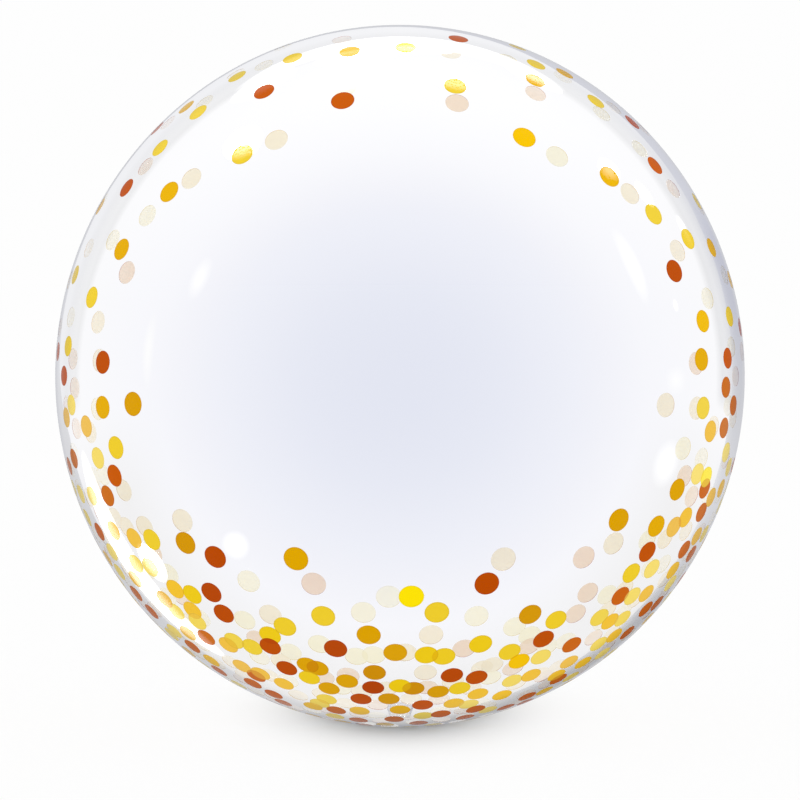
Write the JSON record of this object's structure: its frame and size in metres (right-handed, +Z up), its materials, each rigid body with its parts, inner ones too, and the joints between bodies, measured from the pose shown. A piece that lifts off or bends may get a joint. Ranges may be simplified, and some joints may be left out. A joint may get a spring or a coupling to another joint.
{
  "type": "clear bubble balloon",
  "caption": "Filled clear film balloon, nearly round, with printed dots, a small rest flat underneath and a short sealed tail behind it.",
  "frame": {"origin": "centre of the small flat that the balloon rests on", "axes": "+Z up along the balloon's axis from the neck to the crown, +Y towards the back where the sealed tail lies, +X to the right as seen from the front"},
  "size_m": [0.56, 0.56, 0.5682],
  "materials": {
    "clear_film": "clear stretch film, glossy, with printed gold, amber and copper dots"
  },
  "bodies": {
    "root": {"bubble": "clear_film"}
  },
  "joints": []
}
